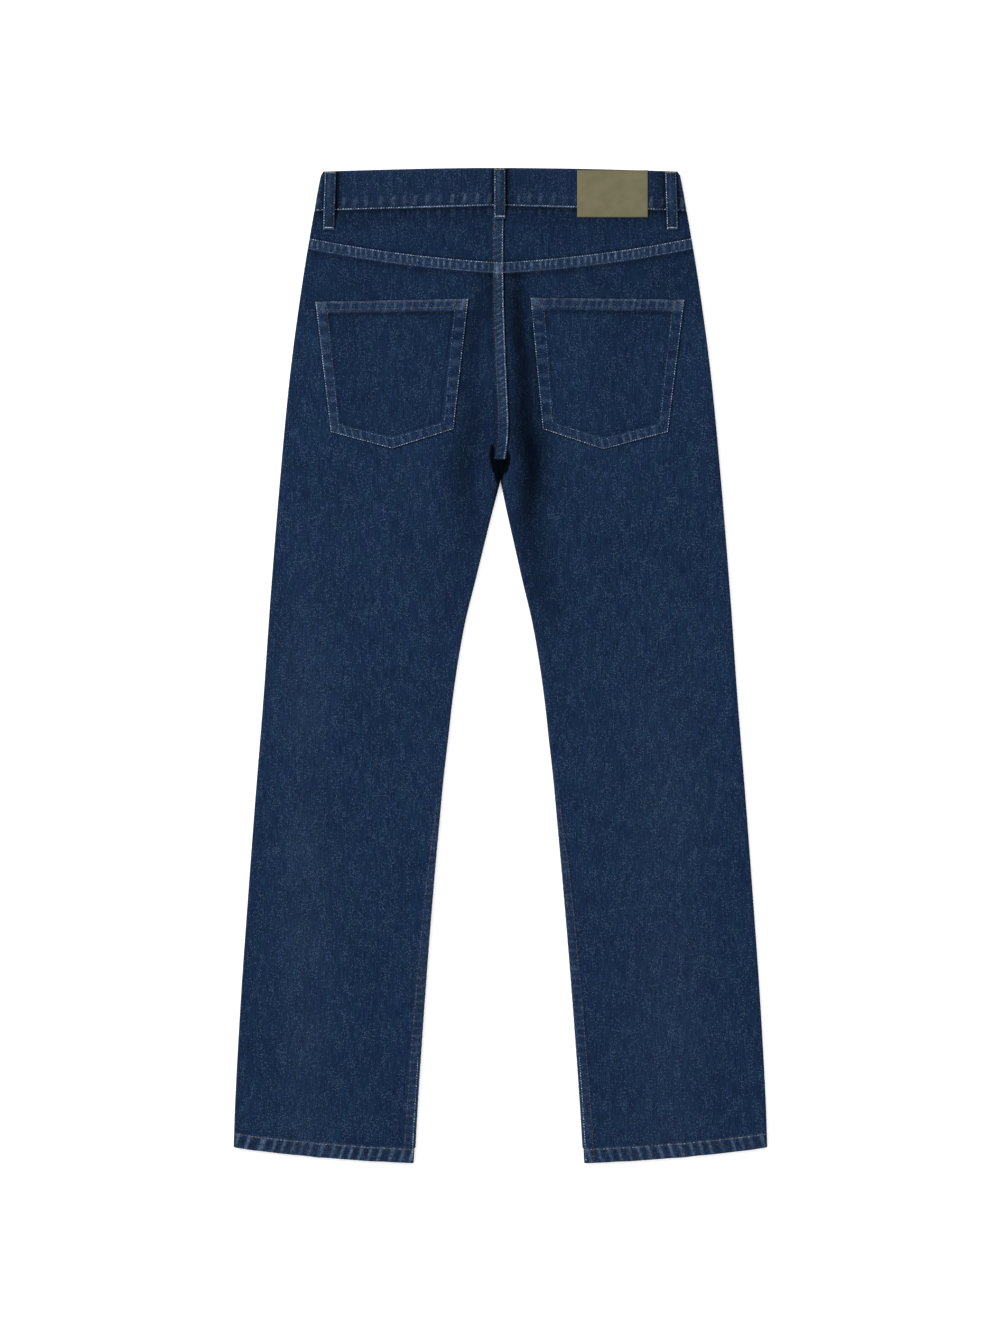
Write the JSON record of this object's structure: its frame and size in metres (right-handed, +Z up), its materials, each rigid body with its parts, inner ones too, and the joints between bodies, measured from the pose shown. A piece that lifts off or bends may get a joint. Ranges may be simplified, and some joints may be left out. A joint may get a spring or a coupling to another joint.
{
  "type": "straight leg jeans laid flat",
  "caption": "Indigo denim straight leg jeans laid flat with the back up: yoke, patch back pockets, belt loops and a bare waistband patch.",
  "frame": {"origin": "middle of the laid garment on the surface it lies on", "axes": "+Y from the hems to the waist, +X towards the wearer's right, +Z up off the surface, with the garment's back facing +Z"},
  "size_m": [0.5718, 1.0641, 0.0118],
  "materials": {
    "denim": "dark indigo denim, soft and matt, worn paler along the seams",
    "patch": "smooth olive brown patch with darker edges, bare",
    "button": "aged brass, satin"
  },
  "bodies": {
    "root": {"back_panel_left": "denim", "back_yoke_left": "denim", "front_panel_left": "denim", "pocket_facing_left": "denim", "back_pocket_left": "denim", "back_panel_right": "denim", "back_yoke_right": "denim", "front_panel_right": "denim", "pocket_facing_right": "denim", "back_pocket_right": "denim", "waistband": "denim", "belt_loop_back_centre": "denim", "belt_loop_back_left": "denim", "belt_loop_back_right": "denim", "belt_loop_front_left": "denim", "belt_loop_front_right": "denim", "waist_patch": "patch", "waist_button": "button"}
  },
  "joints": []
}
